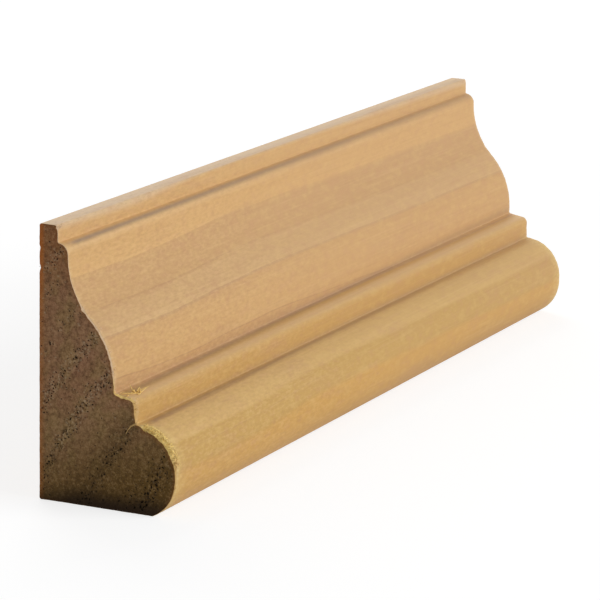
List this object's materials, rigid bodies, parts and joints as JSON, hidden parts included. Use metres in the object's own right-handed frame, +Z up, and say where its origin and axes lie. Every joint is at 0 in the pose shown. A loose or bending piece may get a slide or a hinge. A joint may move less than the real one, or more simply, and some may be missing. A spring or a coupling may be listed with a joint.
{
  "type": "base cap moulding",
  "caption": "Short length of wooden base cap moulding: top fillet, rounded shoulder, ogee, bead and round nose on a flat back and a flat bottom, to finish the top of a baseboard.",
  "frame": {"origin": "middle of the length and of the overall depth, on the flat bottom", "axes": "+X along the length, +Y out of the flat back towards the wall, +Z up; the moulded face looks towards -Y"},
  "size_m": [0.127, 0.019, 0.0349],
  "materials": {
    "timber": "planed, unfinished clear timber with sawn ends"
  },
  "bodies": {
    "root": {"base_cap_moulding": "timber"}
  },
  "joints": []
}
